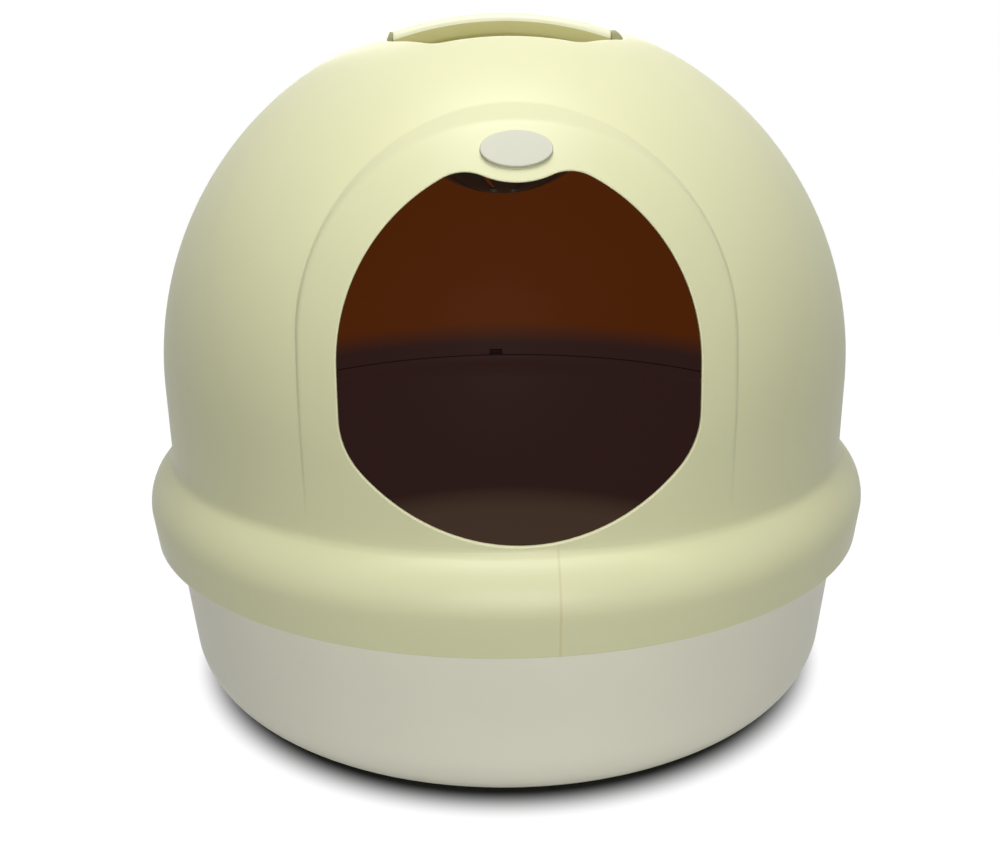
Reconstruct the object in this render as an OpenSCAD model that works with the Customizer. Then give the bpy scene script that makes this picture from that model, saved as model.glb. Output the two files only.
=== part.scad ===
// Hooded litter box: a round pan under a domed hood with a front entry.
// Millimetres. +Z is up, the entry faces -Y, and the pan stands on z = 0.

/* [Hood] */
// Radius of the dome and of the short wall under it
dome_r = 267; // [240:1:290]
// Height of the dome's centre, where the wall ends and the dome starts
dome_centre_z = 241; // [225:1:260]
// Thickness of the hood's moulded wall
hood_wall = 3; // [2:0.5:4]
// How far the skirt band stands out of the wall
skirt_out = 19; // [15:1:27]
// Height at which the skirt band is widest
skirt_wide_z = 150; // [140:1:158]
// Height of the skirt's lower edge
skirt_bottom_z = 124; // [110:1:135]
// How far the skirt draws in from its widest line to its lower edge
skirt_draw_in = 2.5; // [0:0.5:6]
// Radius of the skirt's rounded shoulder
skirt_shoulder_r = 37; // [32:1:42]
// Radius of the hollow between wall and skirt
skirt_hollow_r = 8; // [4:1:12]

/* [Facade] */
// Half the width of the arched front panel
arch_half_w = 131; // [118:1:145]
// Height at which the arch springs from its straight sides
arch_spring_z = 322; // [305:1:335]
// Rise of the arch above its springing
arch_rise = 116; // [100:1:125]
// Forward slope of the panel's outer wall, in degrees
arch_slope = 20; // [5:1:30]
// How far the panel stands out of the straight wall
facade_proud = 1.5; // [0.5:0.25:4]
// Radius of the panel's upright curve
facade_curve_r = 311; // [295:1:340]
// Height at which the panel has sunk back into the wall
facade_fade_z = 194; // [190:1:215]

/* [Entry] */
// Half the width of the entry
entry_half_w = 106.5; // [90:0.5:115]
// Height at which the entry is widest
entry_wide_z = 291; // [275:1:300]
// How far the arcs of its upper sides are centred past the middle
entry_flank_shift = 13; // [8:1:24]
// Radius of the bottom of the entry
entry_bowl_r = 128; // [120:1:140]
// Height of the lowest point of the entry
entry_bottom_z = 188; // [187:1:205]
// Radius that blends the bottom into the sides
entry_blend_r = 48; // [30:1:60]
// Height of the lowest point of the tongue between the ears
tongue_z = 394; // [388:1:400]
// Radius of the tongue
tongue_r = 53; // [40:1:70]
// Radius of each rounded ear
ear_r = 27; // [12:1:32]

/* [Badge] */
// Half the width of the oval plate
badge_half_w = 21; // [15:1:26]
// Half the height of the oval plate
badge_half_h = 12; // [8:1:14]
// Thickness of the plate
badge_thick = 3; // [2:0.5:5]
// Height of the middle of the plate
badge_z = 412; // [408:1:415]
// Depth of its pocket in the front panel
badge_pocket = 1.3; // [0.8:0.1:1.8]

/* [Handle well] */
// Half the width of the well, left to right
well_half_w = 81; // [74:1:92]
// Half the length of the well, front to back
well_half_l = 115; // [105:1:122]
// Half the width of its front and back edges
well_edge_half_w = 48; // [40:1:60]
// Half the length of its left and right edges
well_side_half_l = 84; // [60:1:94]
// Height of the well's floor
well_floor_z = 430; // [425:1:445]
// Number of air slots in the floor
vent_count = 12; // [8:1:16]
// Width of an air slot
vent_w = 5; // [3:0.5:7]
// Inner and outer ends of an air slot, measured from the middle
vent_from_r = 20; // [16:1:26]
vent_to_r = 50; // [40:1:54]

/* [Carry handle] */
// Width of the bar, front to back
bar_w = 44; // [34:1:54]
// Thickness of the bar
bar_thick = 18; // [12:0.5:22]
// Radius of its long upper edges
bar_top_round = 6.5; // [3:0.5:8]
// Radius of its long lower edges
bar_under_round = 4; // [2:0.5:6]
// How far the bar lies under the dome's surface
bar_sunk = 2; // [0:0.5:4]
// Width of the tongue at each end of the bar
lug_w = 24; // [16:1:30]
// Thickness of the tongue
lug_thick = 6; // [4:0.5:8]
// How far the tongue reaches past the well's side
lug_reach = 9; // [6:0.5:12]

/* [Filter] */
// Outer radius of the filter basket
basket_r = 62; // [57:1:68]
// Thickness of the basket's wall
basket_wall = 2.4; // [1.8:0.2:3.2]
// Height of the basket, its bowl included
basket_h = 52; // [44:1:58]
// Radius of the basket's bowl
basket_bowl_r = 92; // [80:1:110]
// Height of the collar that holds it
collar_h = 10; // [7:0.5:14]
// Thickness of the collar's wall
collar_wall = 3; // [2:0.5:4]
// Number of slots round the basket
slot_count = 20; // [12:2:24]
// Width of a basket slot
slot_w = 6; // [4:0.5:8]
// Thickness of the carbon filter
filter_thick = 18; // [10:1:20]

/* [Pan] */
// How far the pan's wall stays inside the skirt's widest line
pan_inset = 14; // [12:0.5:20]
// How far the pan's wall draws in from there to the floor
pan_draft = 13; // [8:1:24]
// Radius between floor and wall
pan_corner_r = 42; // [25:1:55]
// Thickness of the pan's moulded wall
pan_wall = 3.2; // [2.2:0.2:4]
// Thickness of the lip that stands up inside the hood
lip_thick = 3.6; // [3:0.2:4.6]
// How far the lip's edge stands above the skirt's widest line
lip_rise = 37; // [35:1:42]
// Width of the foot ring
foot_w = 28; // [16:1:40]
// Height of the hollow inside the foot ring
foot_h = 2; // [1:0.5:3]
// Width of the locating tab at the back of the lip
tab_w = 14; // [8:1:20]
// Height of the tab above the lip
tab_h = 6; // [3:0.5:9]

/* [Fits] */
// Gap between the hood and the pan it rests on
seat_gap = 0.3; // [0.3:0.1:0.6]
// Gap round pieces that slide or clip together
clip_gap = 0.4; // [0.3:0.1:0.8]

/* [Hidden] */
$fn = 96;
shell_colour = [0.80, 0.79, 0.67];
pan_colour = [0.79, 0.78, 0.71];
filter_colour = [0.16, 0.15, 0.15];
basket_colour = [0.25, 0.23, 0.22];

// How far a cutting body runs past what it cuts
over = 20;
// Sideways step that joins two bodies which only touch
bite = 0.5;

// Skirt's largest radius, and the centres of its shoulder arc and of the hollow above it
skirt_r = dome_r + skirt_out;
shoulder_x = skirt_r - skirt_shoulder_r;
hollow_x = dome_r + skirt_hollow_r;
hollow_z = skirt_wide_z + sqrt(pow(skirt_shoulder_r + skirt_hollow_r, 2) - pow(hollow_x - shoulder_x, 2));
dome_top_z = dome_centre_z + dome_r;
bar_r = dome_r - bar_sunk;

// Centre of the facade's upright curve, on a circle behind the axis
facade_r = dome_r + facade_proud;
facade_centre_x = facade_r - facade_curve_r;
function facade_x(z) = facade_centre_x + sqrt(pow(facade_curve_r, 2) - pow(z - dome_centre_z, 2));
function dome_x(z) = sqrt(pow(dome_r, 2) - pow(z - dome_centre_z, 2));
arch_top_z = arch_spring_z + arch_rise;

// Outline of the entry's right half, from the bottom up to the tongue: bowl, blend, flank, ear and tongue
flank_r = entry_half_w + entry_flank_shift;
flank_c = [-entry_flank_shift, entry_wide_z];
bowl_c = [0, entry_bottom_z + entry_bowl_r];
blend_x = entry_half_w - entry_blend_r;
blend_c = [blend_x, bowl_c[1] - sqrt(pow(entry_bowl_r - entry_blend_r, 2) - pow(blend_x, 2))];
tongue_c = [0, tongue_z + tongue_r];
ear_c = circles_meet(flank_c, flank_r - ear_r, tongue_c, tongue_r + ear_r);
bowl_end = direction(bowl_c, blend_c);
ear_start = direction(flank_c, ear_c);
ear_end = direction(ear_c, tongue_c);
tongue_start = direction(tongue_c, ear_c);
entry_right = concat(
    [[0, entry_bottom_z]],
    arc(bowl_c, entry_bowl_r, -90, bowl_end, 14),
    arc(blend_c, entry_blend_r, bowl_end, 0, 7),
    [[entry_half_w, entry_wide_z]],
    arc(flank_c, flank_r, 0, ear_start, 15),
    arc(ear_c, ear_r, ear_start, ear_end, 5),
    arc(tongue_c, tongue_r, tongue_start, -90, 5)
);
entry_left = [for (i = [len(entry_right) - 2 : -1 : 1]) [-entry_right[i][0], entry_right[i][1]]];

// Tilt and depth of the badge's seat on the facade
badge_tilt = asin((badge_z - dome_centre_z) / facade_curve_r);
badge_y = -facade_x(badge_z);

// Filter basket: its top, its bowl and the ring it is held by
floor_under_z = well_floor_z - hood_wall;
collar_r = basket_r + clip_gap;
basket_top_z = floor_under_z - seat_gap;
basket_bottom_z = basket_top_z - basket_h;
bowl_centre_z = basket_bottom_z + basket_bowl_r;
bowl_edge_z = bowl_centre_z - sqrt(pow(basket_bowl_r, 2) - pow(basket_r, 2));
flange_z = floor_under_z - collar_h - seat_gap;
filter_r = basket_r - basket_wall - clip_gap;
bowl_inner_r = basket_bowl_r - basket_wall;
filter_bottom_z = bowl_centre_z - sqrt(pow(bowl_inner_r, 2) - pow(filter_r, 2)) + seat_gap;

// Pan: radii and taper of its wall, centre of its corner and radius of its shoulder
pan_top_r = skirt_r - pan_inset;
pan_foot_r = pan_top_r - pan_draft;
pan_taper = atan((pan_top_r - pan_foot_r) / skirt_wide_z);
pan_corner_x = pan_foot_r - pan_corner_r * (1 - sin(pan_taper)) / cos(pan_taper);
pan_shoulder_r = skirt_shoulder_r - hood_wall - seat_gap;
lip_r = dome_r - hood_wall - clip_gap;
lip_z = skirt_wide_z + lip_rise;

// The point right of the line from a to b where a circle round each of them meets the other's
function circles_meet(a, ra, b, rb) =
    let (d = norm(b - a), u = (b - a) / d, along = (ra * ra - rb * rb + d * d) / (2 * d))
    a + along * u + sqrt(ra * ra - along * along) * [u[1], -u[0]];

// Direction from a to b, in degrees
function direction(a, b) = atan2(b[1] - a[1], b[0] - a[0]);

// Points along an arc in equal steps, its first point left out
function arc(c, r, from, to, steps) =
    [for (i = [1 : steps]) let (t = from + (to - from) * i / steps) c + r * [cos(t), sin(t)]];

// Half outline of the plain hood, drawn in by inset and open at the bottom by drop
module hood_profile(inset, drop) {
    wall_r = dome_r - inset;
    arc_r = skirt_shoulder_r - inset;
    bottom_z = skirt_bottom_z - drop;
    intersection() {
        translate([0, dome_centre_z]) circle(wall_r, $fn = 200);
        translate([0, dome_centre_z - bite]) square([wall_r, wall_r + bite]);
    }
    translate([0, bottom_z]) square([wall_r, dome_centre_z - bottom_z]);
    polygon([
        [0, skirt_wide_z], [skirt_r - inset, skirt_wide_z],
        [skirt_r - skirt_draw_in - inset, skirt_bottom_z],
        [skirt_r - skirt_draw_in - inset, bottom_z], [0, bottom_z]
    ]);
    intersection() {
        translate([shoulder_x, skirt_wide_z]) circle(arc_r);
        translate([shoulder_x, skirt_wide_z - bite]) square(skirt_shoulder_r + bite);
    }
    difference() {
        polygon([
            [shoulder_x, skirt_wide_z], [hollow_x, hollow_z], [wall_r, hollow_z], [shoulder_x, hollow_z]
        ]);
        translate([hollow_x, hollow_z]) circle(skirt_hollow_r + inset);
    }
}

// Half outline of the round body that the facade is cut from
module facade_profile(inset) {
    intersection() {
        translate([facade_centre_x, dome_centre_z]) circle(facade_curve_r - inset, $fn = 240);
        translate([0, dome_centre_z - bite]) square([facade_r, arch_top_z - dome_centre_z + over]);
    }
    polygon([
        [0, facade_fade_z], [dome_r - inset, facade_fade_z],
        [facade_r - inset, dome_centre_z], [0, dome_centre_z]
    ]);
}

// Arched bar that leans forward, from which the facade takes its outline
module arch_prism(inset) {
    rise = (arch_rise - inset) * cos(arch_slope);
    half_w = arch_half_w - inset;
    translate([0, -dome_x(arch_top_z), arch_spring_z])
        rotate([90 + arch_slope, 0, 0])
            translate([0, 0, -over])
                linear_extrude(dome_r)
                    polygon(concat(
                        [for (t = [0 : 4 : 180]) [half_w * cos(t), rise * sin(t)]],
                        [[-half_w, -dome_r], [half_w, -dome_r]]
                    ));
}

// Whole hood as a solid, drawn in by inset
module hood_form(inset, drop) {
    rotate_extrude($fn = 180) hood_profile(inset, drop);
    intersection() {
        rotate_extrude($fn = 180) facade_profile(inset);
        arch_prism(inset);
    }
}

// Plan of the handle well, grown by grow
module well_plan(grow) {
    half_w = well_half_w + grow;
    half_l = well_half_l + grow;
    edge = well_edge_half_w + grow / 2;
    side = well_side_half_l + grow / 2;
    polygon([
        [-edge, -half_l], [edge, -half_l], [half_w, -side], [half_w, side],
        [edge, half_l], [-edge, half_l], [-half_w, side], [-half_w, -side]
    ]);
}

module well(grow) {
    translate([0, 0, well_floor_z - grow])
        linear_extrude(dome_top_z - well_floor_z + over) well_plan(grow);
}

module entry_cut() {
    rotate([90, 0, 0]) linear_extrude(dome_r + over) polygon(concat(entry_right, entry_left));
}

// Oval plate or its pocket, square to the facade, from depth upwards
module badge_oval(grow, from, height) {
    translate([0, badge_y, badge_z])
        rotate([90 - badge_tilt, 0, 0])
            translate([0, 0, from])
                linear_extrude(height)
                    polygon([
                        for (t = [0 : 6 : 354])
                            [(badge_half_w + grow) * cos(t), (badge_half_h + grow) * sin(t)]
                    ]);
}

// Air slots in the floor of the well
module vents() {
    for (i = [0 : vent_count - 1])
        rotate(360 * i / vent_count)
            translate([vent_from_r, -vent_w / 2, floor_under_z - over])
                cube([vent_to_r - vent_from_r, vent_w, 2 * over]);
}

// The two tongues of the handle, or the slots they clip into
module handle_lugs(gap) {
    lug_z = dome_centre_z + sqrt(pow(bar_r - bar_thick / 2, 2) - pow(well_half_w, 2));
    for (side = [0, 1])
        mirror([side, 0, 0])
            translate([well_half_w - lug_thick, -lug_w / 2 - gap, lug_z - lug_thick / 2 - gap])
                cube([lug_thick + lug_reach + gap, lug_w + 2 * gap, lug_thick + 2 * gap]);
}

module dome_hood() {
    color(shell_colour)
        difference() {
            union() {
                difference() {
                    hood_form(0, 0);
                    difference() {
                        hood_form(hood_wall, over);
                        well(hood_wall);
                    }
                    well(0);
                }
                translate([0, 0, floor_under_z - collar_h])
                    difference() {
                        cylinder(r = collar_r + collar_wall, h = collar_h + bite);
                        translate([0, 0, -over]) cylinder(r = collar_r, h = collar_h + over);
                    }
            }
            entry_cut();
            badge_oval(clip_gap / 2, -badge_pocket, over);
            vents();
            handle_lugs(clip_gap);
        }
}

// Cross-section of the handle bar: across its width, and outwards from the dome's centre
module bar_section() {
    half = bar_w / 2;
    under_r = bar_r - bar_thick;
    for (side = [-1, 1]) {
        translate([bar_r - bar_top_round, side * (half - bar_top_round)]) circle(bar_top_round);
        translate([under_r + bar_under_round, side * (half - bar_under_round)]) circle(bar_under_round);
    }
    translate([under_r, -half + bar_top_round]) square([bar_thick, bar_w - 2 * bar_top_round]);
    translate([under_r + bar_under_round, -half])
        square([bar_thick - bar_top_round - bar_under_round, bar_w]);
    translate([under_r, -half + bar_under_round])
        square([bar_under_round + bite, bar_w - 2 * bar_under_round]);
}

module carry_handle() {
    color(shell_colour)
        union() {
            intersection() {
                translate([0, 0, dome_centre_z])
                    rotate([90, 0, 0])
                        rotate_extrude($fn = 180) bar_section();
                translate([-well_half_w + clip_gap, -bar_w, well_floor_z])
                    cube([2 * (well_half_w - clip_gap), 2 * bar_w, dome_top_z]);
            }
            handle_lugs(0);
        }
}

module oval_badge() {
    color(pan_colour) badge_oval(0, -badge_pocket, badge_thick);
}

// Half outline of the basket's solid, drawn in by inset
module basket_profile(inset) {
    intersection() {
        translate([0, basket_bottom_z]) square([basket_r - inset, basket_h + (inset > 0 ? over : 0)]);
        union() {
            translate([0, bowl_centre_z]) circle(basket_bowl_r - inset, $fn = 180);
            translate([0, bowl_edge_z]) square([basket_r, basket_h + over]);
        }
    }
}

// Slots of the basket: long ones up its side, short ones in its bowl
module basket_slots() {
    side_z = bowl_edge_z - basket_wall;
    for (i = [0 : slot_count - 1])
        rotate(360 * i / slot_count) {
            translate([basket_r - 4 * basket_wall, -slot_w / 2, side_z])
                cube([over, slot_w, flange_z - 2 * basket_wall - side_z]);
            if (i % 2 == 0)
                translate([basket_r / 4, -slot_w / 2, basket_bottom_z - over])
                    cube([basket_r * 0.55, slot_w, 2 * over]);
        }
}

module filter_basket() {
    color(basket_colour)
        difference() {
            union() {
                rotate_extrude($fn = 120) basket_profile(0);
                translate([0, 0, flange_z - basket_wall])
                    cylinder(r = collar_r + collar_wall, h = basket_wall);
            }
            rotate_extrude($fn = 120) basket_profile(basket_wall);
            basket_slots();
        }
}

module carbon_filter() {
    color(filter_colour)
        translate([0, 0, filter_bottom_z]) cylinder(r = filter_r, h = filter_thick);
}

// Half outline of the pan's solid, drawn in by inset
module pan_profile(inset) {
    wall_dir = [sin(pan_taper), cos(pan_taper)];
    wall_out = [cos(pan_taper), -sin(pan_taper)];
    corner = [pan_corner_x, pan_corner_r];
    on_wall = corner + (pan_corner_r - inset) * wall_out;
    wall_top = on_wall + wall_dir * lip_z;
    intersection() {
        union() {
            translate(corner) circle(pan_corner_r - inset);
            polygon([[0, inset], [pan_corner_x, inset], corner, on_wall, wall_top, [0, wall_top[1]]]);
        }
        union() {
            square([skirt_r, skirt_wide_z]);
            translate([shoulder_x, skirt_wide_z]) circle(pan_shoulder_r - inset);
            square([shoulder_x, skirt_wide_z + pan_shoulder_r - inset]);
        }
    }
}

// Lip that stands up inside the hood, with a rounded edge
module lip_profile() {
    inner = lip_r - lip_thick;
    base_z = skirt_wide_z + pan_shoulder_r - 2 * pan_wall;
    intersection() {
        translate([inner, base_z]) square([lip_thick, lip_z - lip_thick / 2 - base_z]);
        union() {
            pan_profile(0);
            translate([inner, skirt_wide_z + sqrt(pow(pan_shoulder_r - bite, 2) - pow(lip_r - shoulder_x, 2))])
                square([lip_thick, lip_z]);
        }
    }
    translate([inner + lip_thick / 2, lip_z - lip_thick / 2]) circle(lip_thick / 2);
}

module locating_tab() {
    intersection() {
        translate([-tab_w / 2, 0, lip_z - lip_thick]) cube([tab_w, dome_r, lip_thick + tab_h]);
        difference() {
            cylinder(r = lip_r, h = dome_top_z, $fn = 180);
            cylinder(r = lip_r - lip_thick, h = dome_top_z, $fn = 180);
        }
    }
}

module litter_pan() {
    foot_outer_r = pan_corner_x;
    color(pan_colour)
        union() {
            difference() {
                rotate_extrude($fn = 180) pan_profile(0);
                difference() {
                    rotate_extrude($fn = 180) pan_profile(pan_wall);
                    cylinder(r = foot_outer_r - foot_w + pan_wall, h = pan_wall + foot_h);
                }
                cylinder(r = foot_outer_r - foot_w, h = foot_h);
                translate([0, 0, skirt_wide_z]) cylinder(r = lip_r - lip_thick, h = lip_z, $fn = 180);
            }
            rotate_extrude($fn = 180) lip_profile();
            locating_tab();
        }
}

litter_pan();
dome_hood();
carry_handle();
oval_badge();
filter_basket();
carbon_filter();
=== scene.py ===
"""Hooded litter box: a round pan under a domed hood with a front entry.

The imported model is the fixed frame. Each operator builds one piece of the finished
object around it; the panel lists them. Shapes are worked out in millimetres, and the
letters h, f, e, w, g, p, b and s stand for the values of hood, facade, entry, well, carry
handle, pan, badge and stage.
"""

import math

import bpy
import numpy as np
from mathutils import Matrix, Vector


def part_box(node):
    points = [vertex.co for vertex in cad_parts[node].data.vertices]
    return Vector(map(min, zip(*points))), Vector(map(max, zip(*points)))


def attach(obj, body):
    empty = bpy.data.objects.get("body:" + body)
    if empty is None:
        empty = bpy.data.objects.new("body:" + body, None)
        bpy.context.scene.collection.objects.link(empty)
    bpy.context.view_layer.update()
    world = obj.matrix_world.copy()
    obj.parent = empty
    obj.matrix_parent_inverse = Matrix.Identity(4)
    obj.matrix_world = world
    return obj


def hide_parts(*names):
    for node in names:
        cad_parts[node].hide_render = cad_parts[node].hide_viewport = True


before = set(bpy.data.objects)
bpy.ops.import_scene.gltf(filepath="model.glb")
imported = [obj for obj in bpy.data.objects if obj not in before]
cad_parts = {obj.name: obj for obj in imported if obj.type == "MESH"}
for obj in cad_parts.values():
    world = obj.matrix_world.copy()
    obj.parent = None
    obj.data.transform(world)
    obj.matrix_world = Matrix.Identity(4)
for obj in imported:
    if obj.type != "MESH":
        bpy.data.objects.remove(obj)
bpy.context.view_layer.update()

bl_info = {
    "name": "Hooded litter box",
    "version": (1, 0, 0),
    "blender": (4, 5, 0),
    "location": "3D View > Sidebar > Litter box",
    "description": "Builds the hood, pan, handle, badge and filter of a hooded litter box",
    "category": "Add Mesh",
}

MM = 0.001
# Material slots: the outer finish, and a second one that carries painted shade on the insides and on
# the handle's sides.
OUTSIDE, INSIDE = 0, 1
EASE, FINE_EASE = np.linspace(0, 1, 5), np.linspace(0, 1, 7)

# Columns round the upright axis, and half those of the front field, an air slot, a tongue's slot
SECTORS = 288
WINDOW_HALF, VENT_HALF, TONGUE_HALF = 27, 2, 7
SIDES = (SECTORS // 4, SECTORS * 3 // 4)
VENT_SECTORS = SECTORS // 12
VENT_ROWS = 8

# Rounding of the small blocks, and the floor's rim past the air slots, in millimetres
BLOCK_ROUND = 1.2
VENT_MARGIN = 6

# Stage, in metres: each lamp's side and place, the point that all face, half the floor's side,
# and the radii between which its painted shadow, the floor's white glow dimmed near the object, fades
# into white
LAMPS = {
    "top": (0.8, (0, -0.4, 1.6)),
    "front": (0.8, (0, -1.9, 0.55)),
    "back": (1.2, (0, 2.0, 1.1)),
}
LAMP_AIM = (0, 0, 0.25)
FLOOR_HALF = 6
PAINTED_SHADOW_FADE = (0.238, 0.269)

# Strength of the painted glow of the insides, an emission that stands in for light passing the wall,
# and the colours of the knit line and of the surround
PAINTED_GLOW = 0.94
MARK_TINT = (0.92, 0.87, 0.79, 1)
WHITE = (1, 1, 1, 1)


# Sizes and colours

def length(name, text, default):
    """A size property in metres, from a default in millimetres."""
    return bpy.props.FloatProperty(
        name=name, description=text, default=default * MM, unit="LENGTH", precision=4
    )


def angle(name, text, degrees):
    """An angle property, from a default in degrees."""
    return bpy.props.FloatProperty(
        name=name, description=text, default=math.radians(degrees), subtype="ANGLE"
    )


def number(name, text, default):
    """A plain number property."""
    return bpy.props.FloatProperty(name=name, description=text, default=default)


def colour(name, text, default):
    """A colour property, in linear red, green and blue."""
    return bpy.props.FloatVectorProperty(
        name=name, description=text, default=default, subtype="COLOR", size=3, min=0, max=1
    )


class HoodSizes(bpy.types.PropertyGroup):
    """Sizes of the domed hood."""

    dome_r: length("Dome radius", "Radius of the dome and of its wall", 267)
    dome_z: length("Dome centre", "Height of the dome's centre", 241)
    wall: length("Wall", "Thickness of the moulded wall", 3)
    skirt_out: length("Skirt", "How far the skirt stands out of the wall", 19)
    skirt_wide_z: length("Skirt widest", "Height at which the skirt is widest", 150)
    skirt_bottom_z: length("Skirt edge", "Height of the skirt's lower edge", 124)
    skirt_draw_in: length("Skirt draft", "How far the skirt draws in below", 2.5)
    shoulder_r: length("Shoulder", "Radius of the skirt's shoulder", 37)
    hollow_r: length("Hollow", "Radius of the hollow over the shoulder", 8)
    window_top_z: length("Front, high", "Height at which the front field ends", 452)
    edge_r: length("Edge", "Rounding of the moulded edges", 1.1)


class FacadeSizes(bpy.types.PropertyGroup):
    """Sizes of the arched front panel."""

    half_w: length("Half width", "Half the width of the arch", 131)
    spring_z: length("Springing", "Height at which the arch springs", 322)
    rise: length("Rise", "Rise of the arch", 116)
    slope: angle("Slope", "Forward slope of the panel's outer wall", 20)
    proud: length("Proud", "How far the panel stands out of the wall", 1.5)
    curve_r: length("Curve", "Radius of the panel's upright curve", 311)
    fade_z: length("Fade", "Height at which the panel sinks into the wall", 194)
    crest_r: length("Crest", "Rounding of the panel's outer edge", 3.2)
    foot_r: length("Foot", "Rounding where the panel meets the dome", 1.6)


class EntrySizes(bpy.types.PropertyGroup):
    """Sizes of the entry."""

    half_w: length("Half width", "Half the width of the entry", 106.5)
    wide_z: length("Widest", "Height at which the entry is widest", 291)
    flank_shift: length("Flank", "How far the upper arcs are centred past the middle", 13)
    bowl_r: length("Bowl", "Radius of the bottom of the entry", 128)
    bottom_z: length("Bottom", "Height of the lowest point", 188)
    blend_r: length("Blend", "Radius between bottom and sides", 48)
    tongue_z: length("Tongue", "Height of the lowest point between the ears", 394)
    tongue_r: length("Tongue radius", "Radius of the tongue", 53)
    ear_r: length("Ear", "Radius of each ear", 27)


class WellSizes(bpy.types.PropertyGroup):
    """Sizes of the handle well in the top."""

    half_w: length("Half width", "Half the width of the well", 81)
    half_l: length("Half length", "Half the length of the well", 115)
    edge_half_w: length("Front edge", "Half the width of its front edge", 48)
    side_half_l: length("Side edge", "Half the length of its side edge", 84)
    corner_r: length("Corner", "Rounding of its upright corners", 7)
    floor_z: length("Floor", "Height of the floor", 430)
    rim_r: length("Rim", "Rounding of the rim", 2.2)
    vent_w: length("Slot", "Width of an air slot", 5)
    vent_from_r: length("Slot start", "Inner end of an air slot", 20)
    vent_to_r: length("Slot end", "Outer end of an air slot", 50)
    collar_r: length("Collar", "Inner radius of the collar", 62.4)
    collar_wall: length("Collar wall", "Thickness of the collar", 3)
    collar_h: length("Collar height", "Height of the collar", 10)


class PanSizes(bpy.types.PropertyGroup):
    """Sizes of the pan."""

    inset: length("Inset", "How far the wall stays inside the skirt", 14)
    draft: length("Draft", "How far the wall draws in to the floor", 13)
    corner_r: length("Corner", "Radius between floor and wall", 42)
    wall: length("Wall", "Thickness of the wall", 3.2)
    lip_thick: length("Lip", "Thickness of the lip", 3.6)
    lip_z: length("Lip edge", "Height of the lip's edge", 187)
    lip_gap: length("Lip gap", "Gap between lip and hood", 0.4)
    seat_gap: length("Seat gap", "Gap between shoulder and hood", 0.3)
    foot_w: length("Foot", "Width of the foot ring", 28)
    foot_h: length("Foot height", "Height of the hollow in the foot ring", 2)
    tab_w: length("Tab", "Width of the tab at the back", 14)
    tab_h: length("Tab height", "Height of the tab", 6)


class HandleSizes(bpy.types.PropertyGroup):
    """Sizes of the carry handle."""

    width: length("Width", "Width of the bar", 44)
    thick: length("Thickness", "Thickness of the bar", 18)
    sunk: length("Sunk", "How far the bar lies under the dome's surface", 2)
    top_round: length("Top edge", "Radius of the upper edges", 6.5)
    under_round: length("Lower edge", "Radius of the lower edges", 4)
    gap: length("Gap", "Gap between bar and well", 0.4)
    lug_w: length("Tongue", "Width of the tongue at each end", 24)
    lug_thick: length("Tongue thickness", "Thickness of the tongue", 6)
    lug_reach: length("Tongue reach", "How far it reaches past the well", 9)


class BadgeSizes(bpy.types.PropertyGroup):
    """Sizes of the oval plate over the entry."""

    half_w: length("Half width", "Half the width of the plate", 21)
    half_h: length("Half height", "Half the height of the plate", 12)
    thick: length("Thickness", "Thickness of the plate", 3)
    middle_z: length("Height", "Height of its middle", 412)
    sunk: length("Pocket", "Depth of its pocket", 1.3)
    edge_r: length("Edge", "Rounding of its edge", 0.7)


class StageSizes(bpy.types.PropertyGroup):
    """Camera, lamps and floor."""

    distance: length("Distance", "Camera's distance from the axis point it faces", 842)
    aim_z: length("Aim", "Height of the axis point the camera faces", 187.7)
    lens: number("Lens", "Focal length in millimetres", 36)
    azimuth: angle("Azimuth", "Camera's turn", -2.1)
    elevation: angle("Elevation", "Camera's rise", 16.24)
    roll: angle("Roll", "Camera's roll", -0.64)
    shift_x: number("Shift", "Camera's sideways shift", -0.0055)
    ambient: number("Ambient", "Strength of the light from all round", 0.02)
    top_power: number("Top lamp", "Power of the overhead lamp in watts", 19.5)
    front_power: number("Front lamp", "Power of the low front lamp in watts", 17)
    back_power: number("Back lamp", "Power of the weaker lamp behind in watts", 20)


class Finishes(bpy.types.PropertyGroup):
    """Colours of the plastics, with painted shade, light, highlight and glow for the insides and the
    handle.
    """

    hood: colour("Hood", "Pearl champagne plastic", (0.59, 0.588, 0.365))
    # Painted shade and glow: the dome's inside is the hood's plastic, drawn dark and glowing
    # orange-brown in place of light through the wall.
    hood_inside: colour("Dome, inside", "Lit through the wall", (0.068, 0.0155, 0.0028))
    # Painted shade: the handle's sides and underside, a darker copy of its plastic where the light from
    # above does not fall.
    grip: colour("Grip", "Handle's sides, deeper khaki", (0.42, 0.39, 0.155))
    # Painted highlight: the handle's top, a paler copy of its plastic, standing in for the light from
    # above.
    crest: colour("Crest", "Handle's polished top, paler", (0.64, 0.64, 0.46))
    pan: colour("Pan", "Warm grey plastic", (0.72, 0.705, 0.58))
    # Painted shade and glow: the pan's inside and the hood's low inner wall, the plastic drawn dark
    # purple-brown where shade falls.
    pan_inside: colour("Pan, inside", "Pan and low wall, inside", (0.0252, 0.0112, 0.0094))
    # Painted light: the pan's floor drawn lighter where light through the entry falls on it.
    pan_floor: colour("Pan floor", "Lit floor of the pan", (0.052, 0.031, 0.021))
    badge: colour("Badge", "Warm grey plastic", (0.44, 0.44, 0.35))
    basket: colour("Basket", "Charcoal plastic", (0.011, 0.0065, 0.0042))
    carbon: colour("Carbon", "Black fibre", (0.012, 0.012, 0.012))


GROUPS = {
    "hood": HoodSizes,
    "facade": FacadeSizes,
    "entry": EntrySizes,
    "well": WellSizes,
    "pan": PanSizes,
    "handle": HandleSizes,
    "badge": BadgeSizes,
    "stage": StageSizes,
    "finish": Finishes,
}


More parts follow.
